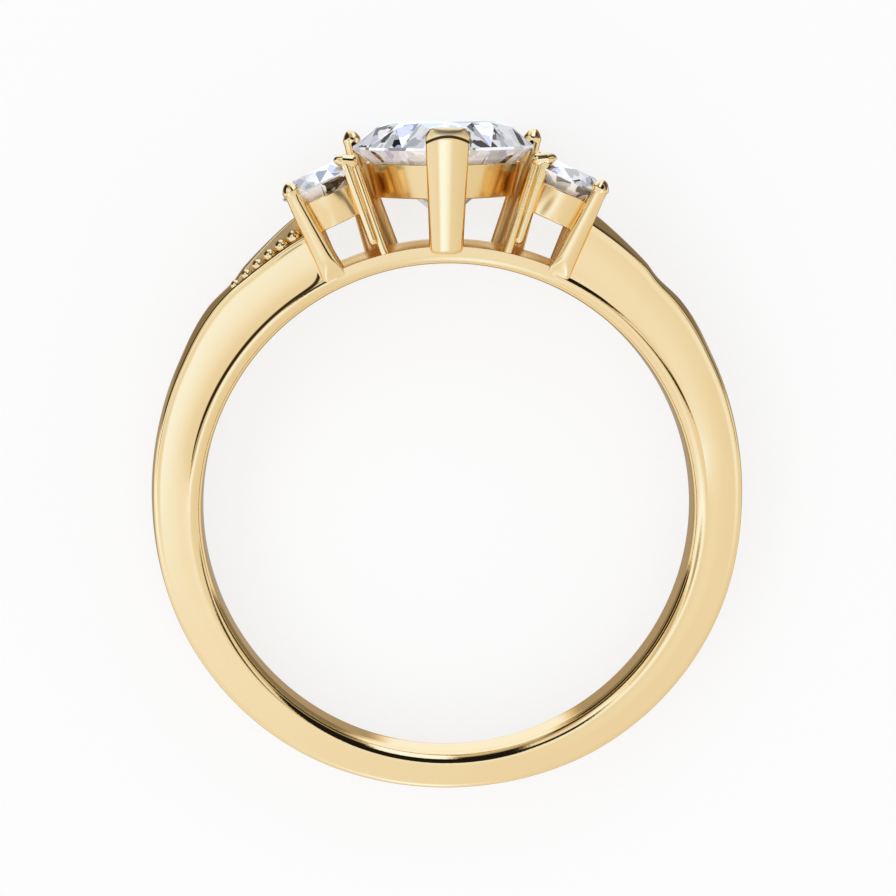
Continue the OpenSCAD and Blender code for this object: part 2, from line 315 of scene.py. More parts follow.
stoneSettings = {
    "ior": 2.42,
    "shardScale": 1.7,
    "tint": (1.0, 0.88, 0.68, 1.0),
    "transmission": 0.15,
    # the painted reflections glow at this strength, though the stone is no lamp
    "glow": 0.2,
    # how far in mm the painted reflection pattern shifts from facet to facet, at most, and the seed of the
    # shifts
    "shift": 20.0,
    "seed": 7,
    # the painted reflections' colours, from black through grey and lilac to white
    "stops": [
        (0.0, (0.012, 0.012, 0.018, 1.0)),
        (0.07, (0.12, 0.13, 0.15, 1.0)),
        (0.15, (0.56, 0.56, 0.74, 1.0)),
        (0.23, (0.52, 0.55, 0.59, 1.0)),
        (0.37, (0.92, 0.94, 1.0, 1.0)),
        (0.84, (0.76, 0.79, 0.85, 1.0)),
    ],
}


def stoneMaterial(ss):
    # painted reflections of a cut stone: flat shards of white, grey and lilac painted into its colour and
    # glow, shifted at each facet
    s = Shading("clearStone")
    facet = s.node("ShaderNodeAttribute", {"attribute_name": "facet"}, out="Vector")
    place = s.node("ShaderNodeVectorMath", {"operation": "ADD"}, {0: s.inMm(), 1: facet})
    reflectionShards = s.node("ShaderNodeTexVoronoi", {"distance": "MANHATTAN"}, {
        "Vector": place,
        "Scale": ss["shardScale"],
    }, out="Color")
    pick = s.node("ShaderNodeSeparateColor", None, {"Color": reflectionShards})
    colour = s.node("ShaderNodeValToRGB", {"stops": ss["stops"]}, {"Fac": pick})
    surface = s.node("ShaderNodeBsdfPrincipled", None, {
        "Base Color": colour,
        "Roughness": 0.0,
        "IOR": ss["ior"],
        "Specular Tint": ss["tint"],
        "Transmission Weight": ss["transmission"],
        "Emission Color": colour,
        "Emission Strength": ss["glow"],
    })
    return s.finish(surface)


def facetShifts(facets, ss):
    # a shift of the painted reflection pattern for each face of a stone, the same on all faces of one facet
    count = facets.max() + 1
    drawn = np.random.default_rng(ss["seed"]).uniform(-ss["shift"], ss["shift"], (count, 3))
    return drawn[facets].astype(np.float32)


gold = goldMaterial(goldSettings)
stone = stoneMaterial(stoneSettings)
print("materials made")

# Band: sections across the ring at angles from the head, positive on the viewer's left.
bandSettings = {
    "halfW": 1.146,
    # The roll at the hole's mouth: its width beside the head and away from it, and how far it turns past
    # its top beside the head. The ends of a thing are the angles between which it fades out.
    "rollHeadW": 0.52,
    "rollW": 0.43,
    "rollPast": 24.0,
    "rollEnds": (74.0, 92.0),
    "rollRows": 16,
    # the painted shade line in the roll's crease, which curls up at the prong, and the one along the rail
    "creaseW": 0.075,
    "creaseEnds": (62.0, 84.0),
    "curlRise": 0.3,
    "curlRun": 1.1,
    "curlWiden": 0.25,
    "railLine": 0.2,
    "railLineW": 0.05,
    "railLineEnds": (31.0, 40.0),
    "thinnest": 0.008,
    "lineStartA": 28.0,
    # the face outside the roll, and the bevel between it and the outer side
    "faceSag": 0.2,
    "faceBulge": 0.035,
    "innerBulgeEnds": (135.0, 165.0),
    "edgeLineEnds": (70.0, 115.0),
    "faceRows": 26,
    "facePower": 1.5,
    "bevel": 0.14,
    "bevelRows": 7,
    "wallRows": 9,
    # the shoulder's ridge and channel
    "shoulderA": 25.0,
    "channelEndA": 44.5,
    "railW": 0.2,
    "railRun": 0.05,
    "channelDepth": 0.14,
    "channelWall": 0.1,
    "ridgeStartZ": 0.22,
    "ridgeEndZ": 0.76,
    "ridgeStartH": 0.75,
    "slopeBulge": 2.6,
    "runOut": 5.0,
    # the channel's satin: how strong, how soft at the ridge, how far above the hole and where it fades out
    "satin": 1.6,
    "satinEdge": 0.03,
    "satinT": 1.2,
    "satinRunOut": 2.0,
    # where the shank starts, the steps in degrees before and after, the rows across the outer side, and the
    # width and reach in rows of their softening
    "shankA": 53.0,
    "shoulderStep": 0.4,
    "shankStep": 1.5,
    "outerRows": 121,
    "softenRows": 1.6,
    "softenReach": 5,
    # angle, thickness at the low and the high edge, crown
    "rows": np.array([
        [20, 2.26, 2.74, 0.10],
        [28, 2.23, 2.56, 0.10],
        [36, 2.17, 2.40, 0.12],
        [44.5, 2.18, 2.22, 0.14],
        [50, 2.13, 2.13, 0.21],
        [60, 1.97, 1.97, 0.16],
        [75, 1.79, 1.79, 0.13],
        [90, 1.64, 1.64, 0.13],
        [110, 1.60, 1.60, 0.06],
        [130, 1.50, 1.50, 0.04],
        [150, 1.39, 1.39, 0.03],
        [168, 1.27, 1.27, 0.03],
        [180, 1.237, 1.237, 0.03],
        [192, 1.27, 1.27, 0.03],
    ]),
}


def tableAt(rows, a, column):
    # Catmull-Rom value of one column at angle a: a cubic from row to row, with slopes from the rows beside
    i = np.clip(np.searchsorted(rows[:, 0], a, side="right") - 1, 1, len(rows) - 3)
    u = (a - rows[i, 0]) / (rows[i + 1, 0] - rows[i, 0])
    p = [rows[i + k, column] for k in (-1, 0, 1, 2)]
    return 0.5 * (
        2 * p[1] + (p[2] - p[0]) * u + (2 * p[0] - 5 * p[1] + 4 * p[2] - p[3]) * u ** 2
        + (3 * p[1] - p[0] - 3 * p[2] + p[3]) * u ** 3
    )


def easeStep(x, start, end):
    # 0 before start, 1 after end, and a smooth rise between them
    t = np.clip((x - start) / (end - start), 0, 1)
    return t * t * (3 - 2 * t)


def alongChannel(a, bs):
    # the share of the way from the shoulder's start to the channel's end, and where the ridge lies there
    u = np.clip((a - bs["shoulderA"]) / (bs["channelEndA"] - bs["shoulderA"]), 0, 1)
    return u, bs["ridgeStartZ"] + (bs["ridgeEndZ"] - bs["ridgeStartZ"]) * u


def outerRadius(a, z, bs):
    # Hole radius plus thickness. Past the channel's end the band is crowned: its edge plus a parabola.
    # Beside the channel it climbs from the high edge to the ridge, drops to the channel's floor and
    # ends in the low rail. The right shoulder is the left one turned half a turn about the head's axis.
    z = np.where(a < 0, -z, z)
    a = np.abs(a)
    low, high, crown = (tableAt(bs["rows"], a, k) for k in (1, 2, 3))
    halfW = bs["halfW"]
    plain = low + crown * (1 - (z / halfW) ** 2)
    u, ridgeZ = alongChannel(a, bs)
    top = low + bs["ridgeStartH"] * (1 - u) + crown * (1 - (ridgeZ / halfW) ** 2) * u
    v = np.clip((z + halfW) / (ridgeZ + halfW), 0, 1)
    slope = high + (top - high) * v + crown * bs["slopeBulge"] * v * (1 - v)
    floor = low - bs["channelDepth"] * (1 - u ** 3)
    railAt = halfW - bs["railW"] - bs["railRun"]
    beaded = slope + (floor - slope) * easeStep(z, ridgeZ, ridgeZ + bs["channelWall"])
    beaded = beaded + (low - beaded) * easeStep(z, railAt, railAt + bs["railRun"])
    worn = easeStep(a, bs["channelEndA"] - bs["runOut"], bs["channelEndA"])
    return holeR + beaded + (plain - beaded) * worn


def beforeEnd(a, ends):
    # 1 beside the head and 0 past the second end, on both sides of the ring
    return 1 - easeStep(np.abs(a), *ends)


def mouthRoll(a, bs):
    # Roll along the hole's front mouth as radius and z, from the hole's wall to the crease at its outer
    # side, and the crease's radius. The roll's arc turns past its top by some degrees, so its own radius is
    # its width over one plus their sine.
    beside = beforeEnd(a, bs["rollEnds"])
    width = bs["rollW"] + (bs["rollHeadW"] - bs["rollW"]) * beside
    past = np.radians(bs["rollPast"]) * beside
    radius = width / (1 + np.sin(past))
    t = np.pi - (np.pi / 2 + past) * np.linspace(0, 1, bs["rollRows"])
    return holeR + radius * (1 + np.cos(t)), bs["halfW"] - radius * (1 - np.sin(t)), holeR + width


def onRing(a, r, z):
    # a degrees from the head, positive on the viewer's left
    t = np.radians(a)
    return np.stack([-r * np.sin(t), r * np.cos(t), z * np.ones_like(r)], -1)


def bandShell(bs):
    # from the left shoulder round the bottom to the right one, in smaller steps beside the ridges
    fine = np.arange(bs["shoulderA"], bs["shankA"], bs["shoulderStep"])
    shankCount = 2 * round((180 - bs["shankA"]) / bs["shankStep"]) + 1
    rest = np.linspace(bs["shankA"], 360 - bs["shankA"], shankCount)
    angles = np.concatenate([fine, rest, (360 - fine)[::-1]])
    a = np.where(angles > 180, angles - 360, angles)[:, None]
    halfW, bevel = bs["halfW"], bs["bevel"]
    z = np.linspace(-(halfW - bevel), halfW - bevel, bs["outerRows"])[None]
    outer = outerRadius(a, z, bs)
    # a bell-shaped mean over the rows on both sides rounds the ridge and the channel's edges
    near = bs["softenReach"]
    steps = np.arange(-near, near + 1)
    kernel = np.exp(-0.5 * (steps / bs["softenRows"]) ** 2)
    padded = np.pad(outer, ((0, 0), (near, near)), mode="edge")
    rows = bs["outerRows"]
    outer = sum(k * padded[:, near + n:near + n + rows] for k, n in zip(kernel / kernel.sum(), steps))
    quarter = np.radians(np.linspace(90, 0, bs["bevelRows"]))
    turned = np.stack([np.cos(quarter), np.sin(quarter)], -1)
    flat = np.linspace(0, 1, bs["faceRows"])[None, 1:-1] ** bs["facePower"]

    def side(outerEdge, a):
        # The roll, the bowed face and the bevel of the front, from the hole's wall outwards. The face
        # starts as low as the roll's crease and nears its own height by a falling power.
        rollR, rollZ, creaseR = mouthRoll(a, bs)
        faceR = creaseR + (outerEdge - creaseR) * flat
        inner = bs["faceBulge"] * beforeEnd(a, bs["innerBulgeEnds"])
        bulge = np.where(flat < 0.5, inner, bs["faceBulge"] * beforeEnd(a, bs["edgeLineEnds"]))
        sunk = halfW - rollZ[:, -1:] - inner * (1 - beforeEnd(a, bs["rollEnds"]))
        faceZ = halfW - bulge * (2 * flat - 1) ** 2 - sunk * np.exp((creaseR - faceR) / bs["faceSag"])
        bevelZ = np.tile(halfW - bevel + bevel * turned[:, 1], (len(a), 1))
        bevelR = outerEdge + bevel * turned[:, 0]
        return np.hstack([rollR, faceR, bevelR]), np.hstack([rollZ, faceZ, bevelZ])

    frontR, frontZ = side(outer[:, -1:] - bevel, a)
    backR, backZ = side(outer[:, :1] - bevel, -a)
    share = np.linspace(0, 1, bs["wallRows"])[None, 1:-1]
    wallZ = -backZ[:, :1] + (frontZ[:, :1] + backZ[:, :1]) * share
    r = np.hstack([np.full(wallZ.shape, holeR), frontR, outer[:, ::-1][:, 1:-1], backR[:, ::-1]])
    zAll = np.hstack([wallZ, frontZ, np.tile(z[0, ::-1][1:-1], (len(a), 1)), -backZ[:, ::-1]])
    return shell(onRing(a * np.ones_like(r), r, zAll))


# the painted shade value of points that lie in no painted dark line
noCrease = -3.0


def bandShadeAndSatin(points):
    # Two painted dark lines of shade on the left shoulder's front, and on the right one's back. One is in
    # the roll's crease and curls up and widens at the prong, one runs along the rail. Each is one minus the
    # distance from its middle over its width. The channels are satin.
    bs = bandSettings
    x, y, z = points.T
    r = np.hypot(x, y)
    a = np.degrees(np.arctan2(-x * np.where(z < 0, -1, 1), y))
    curl = bs["curlRise"] * np.exp(-np.maximum(a - bs["lineStartA"], 0) / bs["curlRun"])
    creaseR = mouthRoll(a[:, None], bs)[2][:, 0] + curl
    creaseW = bs["creaseW"] * beforeEnd(a, bs["creaseEnds"]) + bs["curlWiden"] * curl
    railR = holeR + tableAt(bs["rows"], np.abs(a), 1) - bs["railLine"]
    railW = bs["railLineW"] * beforeEnd(a, bs["railLineEnds"])
    onFace = (np.abs(z) > bs["halfW"] / 2) & (a > bs["lineStartA"])
    crease = np.full(len(a), noCrease)
    for lineR, width in ((creaseR, creaseW), (railR, railW)):
        inLine = 1 - np.abs(r - lineR) / np.maximum(width, bs["thinnest"])
        crease = np.maximum(crease, np.where(onFace & (width > bs["thinnest"]), inLine, noCrease))
    a, z = np.degrees(np.arctan2(np.abs(x), y)), np.where(x > 0, -z, z)
    ridgeZ = alongChannel(a, bs)[1]
    inside = easeStep(z, ridgeZ - bs["satinEdge"], ridgeZ + bs["satinEdge"])
    inside = inside * (z < bs["halfW"] - bs["railW"]) * (r > holeR + bs["satinT"])
    fade = 1 - easeStep(a, bs["channelEndA"] - bs["satinRunOut"], bs["channelEndA"])
    return crease, bs["satin"] * inside * fade, 0


makePiece("band", [bandShell(bandSettings)], gold, "gold_mount", shadeAndSatinAt=bandShadeAndSatin)

# Beads in both channels, smaller towards the channel's end
beadSettings = {
    "count": 6,
    "diameter": 0.56,
    "firstA": 28.9,
    "pitchA": 2.75,
    "shrink": 0.065,
    "rise": 0.38,
    "satin": 0.45,
}


def ballShell(centre, diameter, rings=15, around=24):
    # latitude rings from pole to pole: radius times sine, height times cosine
    t = np.radians(np.linspace(0, 180, rings + 2)[1:-1])[:, None]
    p = np.linspace(0, 2 * np.pi, around, endpoint=False)[None]
    grid = np.stack([np.sin(t) * np.cos(p), np.sin(t) * np.sin(p), np.cos(t) * np.ones_like(p)], -1)
    return shell(centre + grid * diameter / 2)


def beadShells(es, bs):
    # Each bead lies halfway between the channel's wall and the rail, its middle a share of its diameter off
    # the floor. Half a turn about the head's axis gives the other shoulder's bead.
    shells = []
    for k in range(es["count"]):
        a = es["firstA"] + k * es["pitchA"]
        d = es["diameter"] * (1 - es["shrink"] * k)
        ridgeZ = alongChannel(a, bs)[1]
        z = (ridgeZ + bs["channelWall"] + bs["halfW"] - bs["railW"]) / 2
        r = holeR + tableAt(bs["rows"], np.array(a), 1) - bs["channelDepth"] + d * es["rise"]
        spot = onRing(np.array(a), np.array(r), z)
        shells += [ballShell(spot, d), ballShell(spot * [-1, 1, -1], d)]
    return shells


makePiece("shoulder_beads", beadShells(beadSettings, bandSettings), gold, "gold_mount",
          shadeAndSatinAt=lambda points: (noCrease, beadSettings["satin"], 0))

# Bridge between the shoulders: a roof-shaped profile swept round the finger hole
bridgeSettings = {
    "lipT": 0.6,
    "roll": 0.3,
    "rollRows": 10,
    "ridgeT": 0.82,
    "ridgeW": 0.9,
    "inset": 0.02,
    "past": 1.5,
    "step": 1.0,
    "sharpA": 25.0,
    # satin everywhere, and over this height above the lip some more of it and a deeper tone of painted
    # shade
    "satin": 0.5,
    "slopeRun": 0.05,
    "slopeSatin": 0.7,
    "slopeRecess": 0.3,
}


def bridgeShell(gs, bs):
    # from the roof's ridge to the lip's top, down its face and round its roll to the hole, on both sides
    half = bs["halfW"] - gs["inset"]
    t = np.radians(np.linspace(0, 90, gs["rollRows"]))
    side = np.vstack([
        [[gs["ridgeT"], gs["ridgeW"] / 2], [gs["lipT"], half]],
        np.stack([gs["roll"] * (1 - np.sin(t)), half - gs["roll"] * (1 - np.cos(t))], -1),
    ])
    profile = np.vstack([side[::-1] * [1, -1], side])
    end = bs["shoulderA"] + gs["past"]
    a = np.arange(-end, end + gs["step"] / 2, gs["step"])[:, None] * np.ones(len(profile))
    r = holeR + profile[None, :, 0] * np.ones_like(a)
    return shell(onRing(a, r, profile[None, :, 1]))


def bridgeShadeAndSatin(points):
    # satin, and more so on the roof's slopes than on the lip along the hole; painted shade deepens the gold
    # on the slopes
    gs = bridgeSettings
    thickness = np.hypot(points[:, 0], points[:, 1]) - holeR
    slope = easeStep(thickness, gs["lipT"], gs["lipT"] + gs["slopeRun"])
    return noCrease, gs["satin"] + gs["slopeSatin"] * slope, gs["slopeRecess"] * slope


makePiece("head_bridge", [bridgeShell(bridgeSettings, bandSettings)], gold, "gold_mount",
          bridgeSettings["sharpA"], bridgeShadeAndSatin)

# Prongs: bars with domed ends. Each row is a bar on the right-hand side, which is repeated on the left: its
# width at the foot and the top, its depth there, the places that it runs from and to, and its cap's flare.
prongSettings = {
    "bars": [
        ((0.94, 0.5), (0.8, 0.5), [3.85, 8.14, 0.89], [5.41, 11.27, 1.15], 0.24),
        ((0.46, 0.46), (0.46, 0.46), [3.95, 8.6, 0.66], [5.22, 11.2, 0.8], 0),
        ((0.5, 0.5), (0.5, 0.5), [3.96, 8.55, -0.95], [5.1, 11.3, -1.2], 0.15),
        ((0.36, 0.38), (0.42, 0.42), [2.05, 8.75, 0.9], [3.2, 12.15, 0.7], 0),
        ((0.34, 0.42), (0.42, 0.42), [2.56, 9.5, 0.98], [3.48, 12.15, 0.85], 0),
        ((0.48, 0.46), (0.5, 0.5), [3.26, 12.22, 0.8], [3.64, 12.26, 0.84], 0),
        ((0.44, 0.4), (0.44, 0.4), [2.05, 8.75, -0.9], [3.3, 12.3, -0.7], 0),
        ((0.5, 0.44), (0.5, 0.44), [2.5, 8.8, -0.95], [3.42, 12.1, -0.85], 0),
        ((0.62, 0.62), (0.62, 0.62), [1.84, 8.95, -0.82], [3.1, 12.4, -2.05], 0),
        ((0.62, 0.58), (0.62, 0.58), [3.1, 12.4, -2.05], [3.24, 12.98, -2.15], 0.08),
    ],
    "squareness": 2.3,
    "around": 64,
    "sharpA": 60.0,
    # the wide prong at the heart's point
    "pointFoot": [0, 8.98, 1.16],
    "pointTop": [0, 13.43, 3.2],
    "pointDepth": 0.56,
    "pointWidths": (1.18, 1.52),
    "pointSquareness": 2.5,
    "pointAround": 96,
    # the painted shade line under its cap, and the height over which the cap turns satin above it
    "lineY": 13.1,
    "lineBow": 0.22,
    "lineW": 0.07,
    "capRun": 0.1,
    # the satin of the far side: where it ends at the top, over which depth it starts, and its deeper tone
    # of painted shade
    "satinEnds": (12.3, 12.7),
    "backRun": 0.4,
    "backRecess": 0.6,
    # how the feet run out into the roll
    "footLead": 0.16,
    "footSlope": 0.42,
    "footSunk": 0.02,
    "footSoft": 0.04,
    "holeGap": 0.01,
}

# All bars: a cap's height and the height over which it flares out, both over half the bar's depth, the
# power of its dome, the angle of the domes' last ring, and the shaft's rows, which are closest at its foot.
barShape = {
    "capH": 1.15,
    "flareH": 0.7,
    "capPower": 0.45,
    "domeEndA": 88.0,
    "domeRows": 14,
    "shaftRows": 26,
    "shaftPower": 1.6,
}


def barShell(foot, top, widths, depths, squareness, flare, around, broad=False):
    # Straight bar with a superellipse section. Its foot closes in a round dome. Its top flares out, then
    # closes in a flattened dome, where the depth left is a power of the share of the height left. A broad
    # bar's ends keep most of its width: they draw in by as much across it as through it.
    foot, top = np.array(foot, float), np.array(top, float)
    length = np.linalg.norm(top - foot)
    along = (top - foot) / length
    front = np.array([0.0, 0.0, 1.0]) - along[2] * along
    front /= np.linalg.norm(front)
    side = np.cross(front, along)
    dome = np.sin(np.radians(np.linspace(0, barShape["domeEndA"], barShape["domeRows"])))
    footR, topR = depths[0] / 2, depths[1] / 2
    capH, flareH = topR * barShape["capH"], topR * barShape["flareH"]
    capStart = length + topR - capH
    shaft = (capStart - flareH) * np.linspace(0, 1, barShape["shaftRows"]) ** barShape["shaftPower"]
    flaring = capStart - flareH * (1 - dome[1:-1])
    s = np.concatenate([-footR * dome[::-1], shaft[1:], flaring, capStart + capH * dome])
    share = np.clip(s / length, 0, 1)
    radius = footR + (topR - footR) * share
    left = 1 - np.maximum(s - capStart, 0) / capH
    flared = 1 + flare * easeStep(s, capStart - flareH, capStart)
    rounded = np.sqrt(np.maximum(radius ** 2 - np.maximum(-s, 0) ** 2, 0))
    thick = rounded * left ** barShape["capPower"] * flared
    wide = thick * (widths[0] + (widths[1] - widths[0]) * share) / (2 * radius)
    if broad:
        wide = wide * radius / thick + thick - radius
    t = np.linspace(0, 2 * np.pi, around, endpoint=False)
    x = np.sign(np.cos(t)) * np.abs(np.cos(t)) ** (2 / squareness)
    y = np.sign(np.sin(t)) * np.abs(np.sin(t)) ** (2 / squareness)
    grid = (
        foot + s[:, None, None] * along
        + (wide[:, None] * x)[..., None] * side + (thick[:, None] * y)[..., None] * front
    )
    return shell(grid)


def footTrimmed(points, ps, bs):
    # Near the hole nothing stands out of the roll at its mouth, and nothing stands into the hole. A foot
    # leaves the roll in a slope that starts just before the crease, and the log of the sum of both heights'
    # powers rounds the edge between them.
    x, y, z = points.T
    r = np.hypot(x, y)
    rollR, rollZ, creaseR = mouthRoll(np.array([[0.0]]), bs)
    past = np.maximum(r - creaseR[0, 0] + ps["footLead"], 0)
    limit = np.interp(r, rollR[0], rollZ[0]) - ps["footSunk"] + past * ps["footSlope"]
    k = np.maximum(1, (holeR + ps["holeGap"]) / r)
    z = -np.logaddexp(-z / ps["footSoft"], -limit / ps["footSoft"]) * ps["footSoft"]
    return np.stack([x * k, y * k, z], -1)


def prongShells(ps, bs):
    shells = []
    for widths, depths, foot, top, flare in ps["bars"]:
        for side in (-1, 1):
            mirror = np.array([side, 1, 1])
            points, quads, tris = barShell(
                foot * mirror, top * mirror, widths, depths, ps["squareness"], flare, ps["around"])
            shells.append((footTrimmed(points, ps, bs), quads, tris))
    return shells


def prongShadeAndSatin(points):
    # the prongs on the far side are satin up to the heart's girdle, and painted shade deepens their gold
    # there
    ps = prongSettings
    back = easeStep(-points[:, 2], 0, ps["backRun"]) * (1 - easeStep(points[:, 1], *ps["satinEnds"]))
    return noCrease, back, ps["backRecess"] * back


def pointProngShadeAndSatin(points):
    # a painted dark line of shade under the cap, bowed down at its ends, and a satin cap
    ps = prongSettings
    lineY = ps["lineY"] - ps["lineBow"] * (points[:, 0] / ps["pointWidths"][1] * 2) ** 2
    above = points[:, 1] - lineY
    front = points[:, 2] > ps["pointTop"][2] - 2 * ps["pointDepth"]
    crease = np.maximum(1 - np.abs(above) / ps["lineW"], noCrease) * front
    return crease, easeStep(above, 0, ps["capRun"]), 0


def pointProngShell(ps):
    # foot and top here are the bar's own ends, so the middles of the domes lie half its depth inside them
    foot, top = np.array(ps["pointFoot"]), np.array(ps["pointTop"])
    foot[1] += ps["pointDepth"] / 2
    top[1] -= ps["pointDepth"] / 2
    depths = (ps["pointDepth"], ps["pointDepth"])
    return barShell(foot, top, ps["pointWidths"], depths, ps["pointSquareness"], 0, ps["pointAround"], True)


makePiece("prongs", prongShells(prongSettings, bandSettings), gold, "gold_mount",
          prongSettings["sharpA"], prongShadeAndSatin)
makePiece("point_prong", [pointProngShell(prongSettings)], gold, "gold_mount",
          prongSettings["sharpA"], pointProngShadeAndSatin)

# Heart outline in units of its width: two round lobes and two bowed sides that meet in the point
heartSettings = {
    "width": 6.4,
    "girdleY": 12.65,
    "girdle": 0.1,
    "table": 0.6,
    "crown": 0.84,
    "pavilion": 2.5,
    "mains": 12,
    "middle": (0.0, 0.02),
    "starRise": 0.79,
    "lobe": (0.235, 0.19),
    "lobeR": 0.265,
    "joinA": -15.0,
    "pointY": -0.5,
    "lobeShare": 0.55,
}


def heartOutline(u, hs):
    # u runs once round from the cleft. Each half is an arc of the lobe, then one arc that leaves the lobe
    # smoothly and ends in the point: its radius is the chord's square over twice the chord's reach in the
    # lobe's outward direction.
    u = np.asarray(u, float) % 1
    left = u > 0.5
    t = np.where(left, 2 - 2 * u, 2 * u)
    lobe = np.array(hs["lobe"])
    joinA = math.radians(hs["joinA"])
    outwards = np.array([math.cos(joinA), math.sin(joinA)])
    join = lobe + hs["lobeR"] * outwards
    chord = join - [0, hs["pointY"]]
    sideR = chord @ chord / (2 * chord @ outwards)
    sideC = join - sideR * outwards
    cleftA = math.acos(-lobe[0] / hs["lobeR"])
    tipA = math.atan2(hs["pointY"] - sideC[1], -sideC[0])
    share = hs["lobeShare"]
    lobeA = cleftA + (joinA - cleftA) * t / share
    sideA = joinA + (tipA - joinA) * (t - share) / (1 - share)
    onLobe = t < share
    x = np.where(onLobe, lobe[0] + hs["lobeR"] * np.cos(lobeA), sideC[0] + sideR * np.cos(sideA))
    y = np.where(onLobe, lobe[1] + hs["lobeR"] * np.sin(lobeA), sideC[1] + sideR * np.sin(sideA))
    return np.stack([np.where(left, -x, x), y], -1)


def roundOutline(u):
    # a circle of width 1
    t = 2 * np.pi * np.asarray(u, float)
    return np.stack([np.sin(t), np.cos(t)], -1) / 2


def cutStone(outline, cs, fine=2):
    # Brilliant cut, table up along z and the girdle's middle at z = 0. Its rings of points are the outline
    # drawn towards the middle: the table's corners, the stars' tips, both edges of the girdle and the lower
    # halves' tips, with the culet as one point. It gives points, quads, tris and every face's facet.
    mains, middle = cs["mains"], np.array(cs["middle"])
    perMain = 2 * fine
    n = mains * perMain
    starK = cs["table"] + (1 - cs["table"]) * cs["starSpread"]

    def ring(count, shift, k, z):
        flat = middle + (outline((np.arange(count) + shift) / count) - middle) * k
        return np.column_stack([flat * cs["width"], np.full(count, z)])

    rim = cs["girdle"] / 2
    points = np.vstack([
        ring(mains, 0, cs["table"], rim + cs["crown"]),
        ring(mains, 0.5, starK, rim + cs["crown"] * cs["starRise"]),
        ring(n, 0, 1, rim),
        ring(n, 0, 1, -rim),
        ring(mains, 0.5, cs["longK"], -rim - cs["pavilion"] * cs["longDrop"]),
        [[*(middle * cs["width"]), -rim - cs["pavilion"]]],
    ])
    i = np.arange(mains)
    after, before, g = (i + 1) % mains, (i - 1) % mains, i * perMain
    star, upper, lower = mains, 2 * mains, 2 * mains + n
    long, culet = lower + n, np.full(mains, lower + n + mains)
    # stars, kites and the pavilion's mains, then the halves
    tris = [
        (after, i, star + i),
        (i, star + before, upper + g),
        (i, upper + g, star + i),
        (long + i, lower + g, culet),
        (long + before, culet, lower + g),
    ]
    for k in range(perMain):
        tris += [(star + i, upper + g + k, upper + (g + k + 1) % n)]
        tris += [(long + i, lower + (g + k + 1) % n, lower + g + k)]
    table = np.stack([np.zeros(mains - 2, int), i[2:], i[1:-1]], -1)
    j = np.arange(n)
    q = (j + 1) % n
    quads = np.stack([upper + j, lower + j, lower + q, upper + q], -1)
    tris = np.vstack([np.stack(t, -1) for t in tris] + [table])
    # the small triangles of one half count as one facet, and so do the rim and the table together
    blocks = [0, 1, 2, 3, 4] + [5 + 2 * (k // fine) + below for k in range(perMain) for below in (0, 1)]
    cut = [1 + mains * block + i for block in blocks]
    facets = np.concatenate([np.zeros(n, int)] + cut + [np.zeros(mains - 2, int)])
    return points, quads, tris, facets


def heartPlaced(points, hs):
    # the stone's table faces away from the hole and its point faces the viewer
    x, y, z = np.moveaxis(points, -1, 0)
    return np.stack([x, hs["girdleY"] + z, -y], -1)


# shares of the crown and the pavilion that all three stones have in common
facetShares = {"starSpread": 0.46, "longK": 0.24, "longDrop": 0.78}
points, quads, tris, facets = cutStone(
    lambda u: heartOutline(u, heartSettings), {**facetShares, **heartSettings})
heartShell = outward(heartPlaced(points, heartSettings), quads, tris)
makePiece("centre_stone", [heartShell], stone, "heart_stone", 0,
          shifts=facetShifts(facets, stoneSettings))

sideSettings = {
    "width": 2.9,
    "x": 4.36,
    "y": 11.48,
    "lean": 25.0,
    "girdle": 0.06,
    "table": 0.57,
    "crown": 0.42,
    "pavilion": 1.22,
    "mains": 8,
    "middle": (0.0, 0.0),
    "starRise": 0.676,
}


def onSide(points, side, ss):
    # a stone drawn along z leans outwards on its shoulder: side is 1 on the right and -1 on the left
    x, y, z = np.moveaxis(np.asarray(points, float), -1, 0)
    c, s = math.cos(math.radians(ss["lean"])), side * math.sin(math.radians(ss["lean"]))
    return np.stack([side * ss["x"] + x * c + z * s, ss["y"] - x * s + z * c, -y], -1)


points, quads, tris, facets = cutStone(roundOutline, {**facetShares, **sideSettings})
for side, name in ((-1, "left_stone"), (1, "right_stone")):
    sideShell = outward(onSide(points, side, sideSettings), quads, tris)
    makePiece(name + "_cut", [sideShell], stone, name, 0,
              shifts=facetShifts(facets, stoneSettings))

# Collar under the heart: a wall along the outline, drawn in towards its foot, with the stone's seat inside
# its top. The outline's point is cut off flat inside the wide prong.
collarSettings = {
    "topK": 0.9,
    "footK": 0.78,
    "seatK": 0.845,
    "front": 0.44,
    "wall": 0.3,
    "drop": 0.52,
    "height": 1.2,
    "seatDrop": 0.2,
    "round": 0.06,
    "around": 160,
    "satin": 0.5,
}


def collarShell(cs, hs):
    # each corner of the wall's profile is the outline at that corner's share of the half width
    half = hs["width"] / 2
    topY = hs["girdleY"] - cs["drop"]
    footY = topY - cs["height"]
    inner = cs["wall"] / half
    profile = roundCorners(np.array([
        [cs["footK"] * half, footY],
        [cs["topK"] * half, topY],
        [cs["seatK"] * half, topY],
        [(cs["topK"] - inner) * half, topY - cs["seatDrop"]],
        [(cs["footK"] - inner) * half, footY],
    ]), cs["round"])
    u = np.linspace(0, 1, cs["around"], endpoint=False)
    loop = heartOutline(u, hs)
    loop[:, 1] = np.maximum(loop[:, 1], -cs["front"])
    flat = loop[:, None] * (profile[None, :, :1] / half) * hs["width"]
    y = np.tile(profile[:, 1], (len(u), 1))
    return shell(np.stack([flat[..., 0], y, -flat[..., 1]], -1), closed=True)


